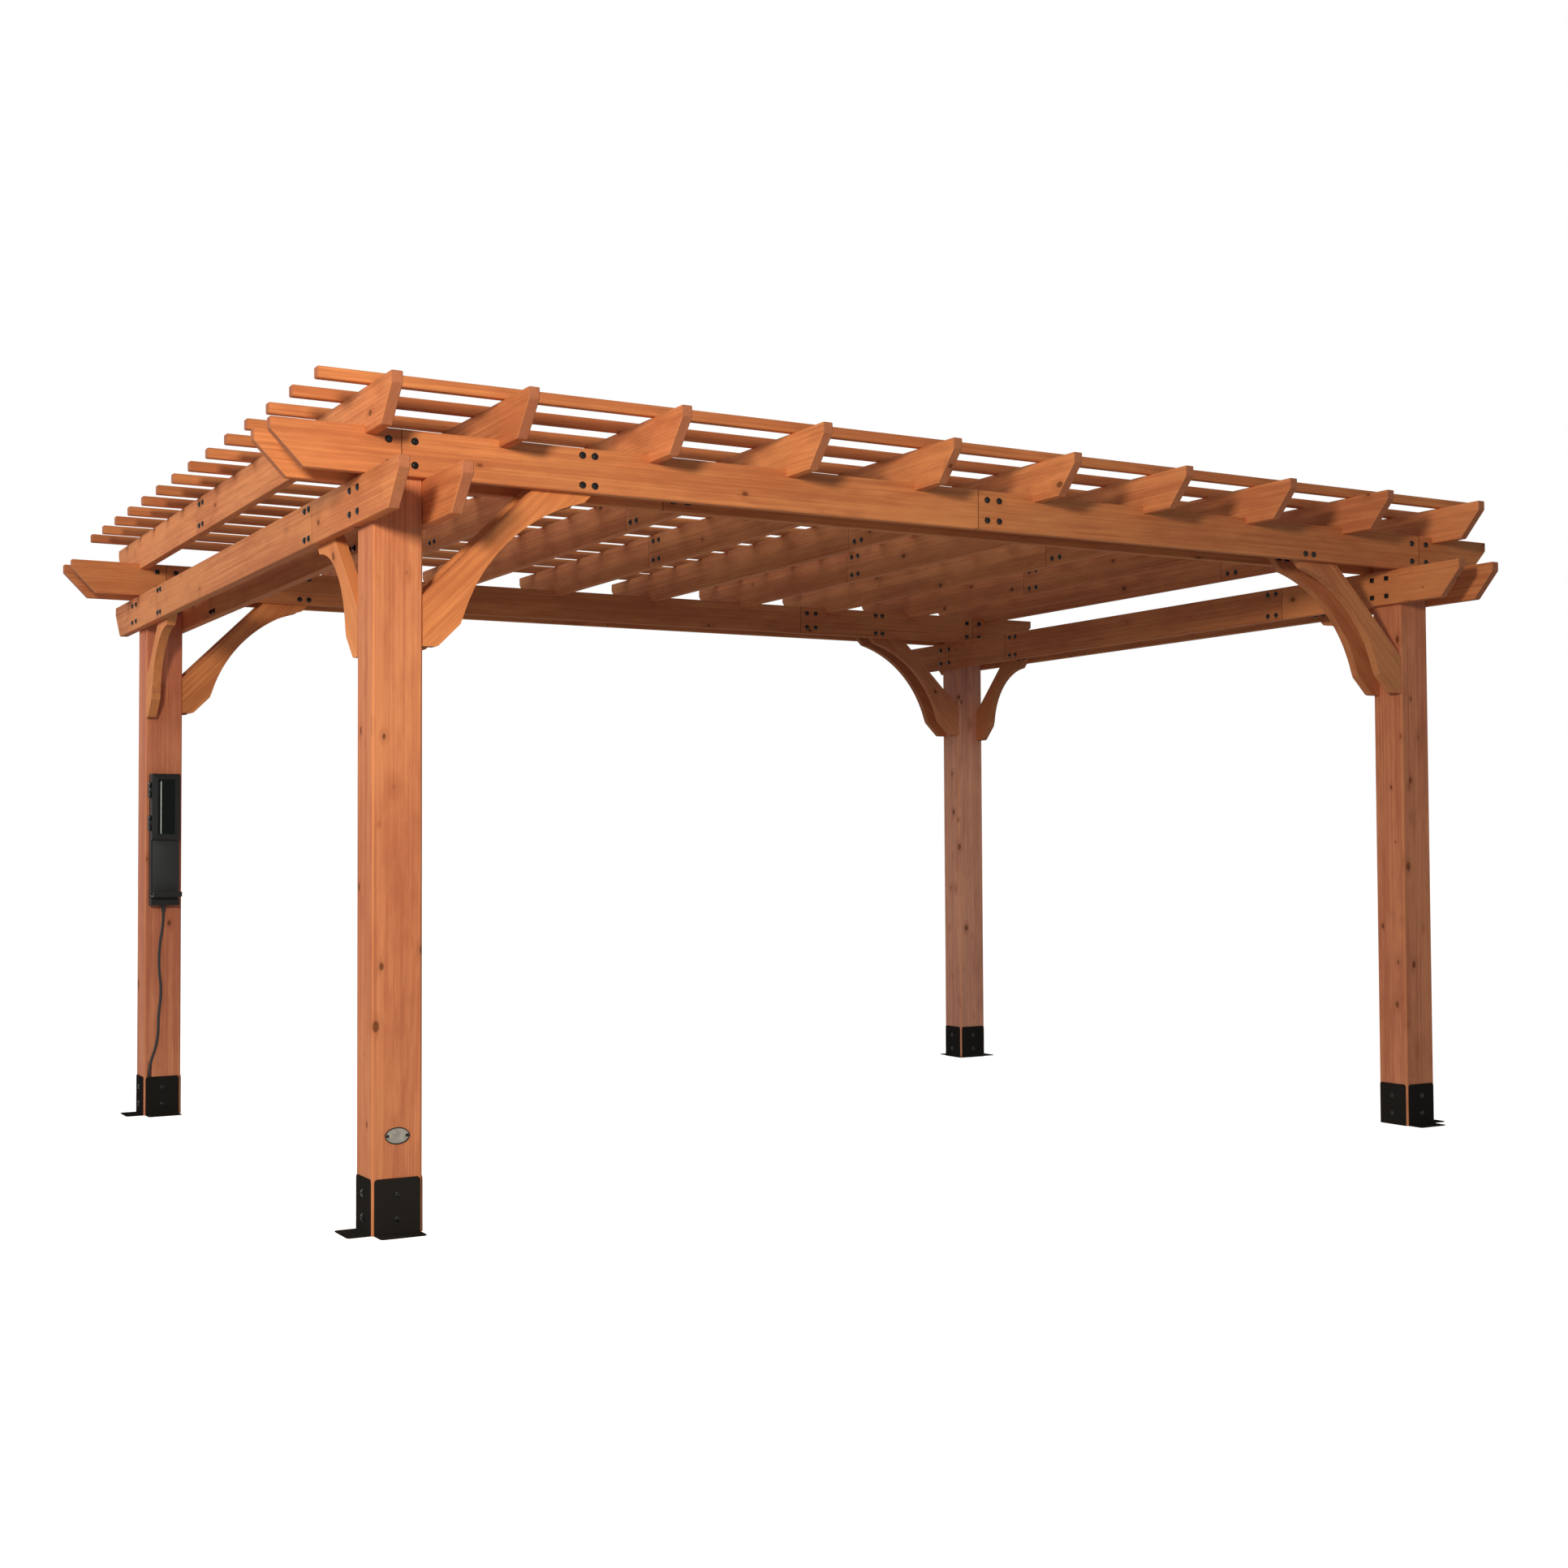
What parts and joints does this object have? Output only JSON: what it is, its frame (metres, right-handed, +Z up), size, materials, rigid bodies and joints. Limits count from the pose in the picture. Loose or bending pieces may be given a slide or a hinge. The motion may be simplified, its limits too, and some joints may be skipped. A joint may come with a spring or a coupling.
{
  "type": "wooden pergola",
  "caption": "Open wooden pergola with square posts on steel feet, doubled beams, curved braces, notched rafters, shade slats and a power box with a hinged cover.",
  "frame": {"origin": "on the ground, in the middle of the four posts", "axes": "+X along the long front to the right, +Y from the front to the back, +Z up"},
  "size_m": [4.592, 3.76, 2.327],
  "materials": {
    "stained_cedar": "warm orange-brown stain, planed, with fine grain and small knots",
    "black_steel": "black powder coat, satin",
    "black_plastic": "black moulded plastic, fine texture",
    "dark_pane": "smoked glossy plastic",
    "cord_rubber": "black rubber cord jacket"
  },
  "bodies": {
    "frame": {"post_front_left": "stained_cedar", "post_front_right": "stained_cedar", "post_back_left": "stained_cedar", "post_back_right": "stained_cedar", "base_front_left": "black_steel", "base_front_right": "black_steel", "base_back_left": "black_steel", "base_back_right": "black_steel", "side_beam_left_outer": "stained_cedar", "side_beam_left_inner": "stained_cedar", "side_beam_right_inner": "stained_cedar", "side_beam_right_outer": "stained_cedar", "cross_beam_front_outer": "stained_cedar", "cross_beam_front_inner": "stained_cedar", "cross_beam_back_inner": "stained_cedar", "cross_beam_back_outer": "stained_cedar", "rafter_01": "stained_cedar", "rafter_02": "stained_cedar", "rafter_03": "stained_cedar", "rafter_04": "stained_cedar", "rafter_05": "stained_cedar", "rafter_06": "stained_cedar", "rafter_07": "stained_cedar", "rafter_08": "stained_cedar", "rafter_09": "stained_cedar", "rafter_10": "stained_cedar", "roof_slats": "stained_cedar", "cross_braces_front_left": "stained_cedar", "side_brace_front_left": "stained_cedar", "cross_braces_front_right": "stained_cedar", "side_brace_front_right": "stained_cedar", "cross_braces_back_left": "stained_cedar", "side_brace_back_left": "stained_cedar", "cross_braces_back_right": "stained_cedar", "side_brace_back_right": "stained_cedar", "power_box_housing": "black_plastic", "outlet_panel": "black_plastic", "cord_gland": "cord_rubber", "power_cord": "cord_rubber"},
    "cover": {"power_box_cover": "black_plastic", "power_box_pane": "dark_pane"}
  },
  "joints": [
    {"name": "cover_hinge", "type": "hinge", "parent": "frame", "child": "cover", "pos_m": [-2.003, 1.3775, 1.223], "axis": [0, 0, -1], "range_deg": [0, 110]}
  ]
}
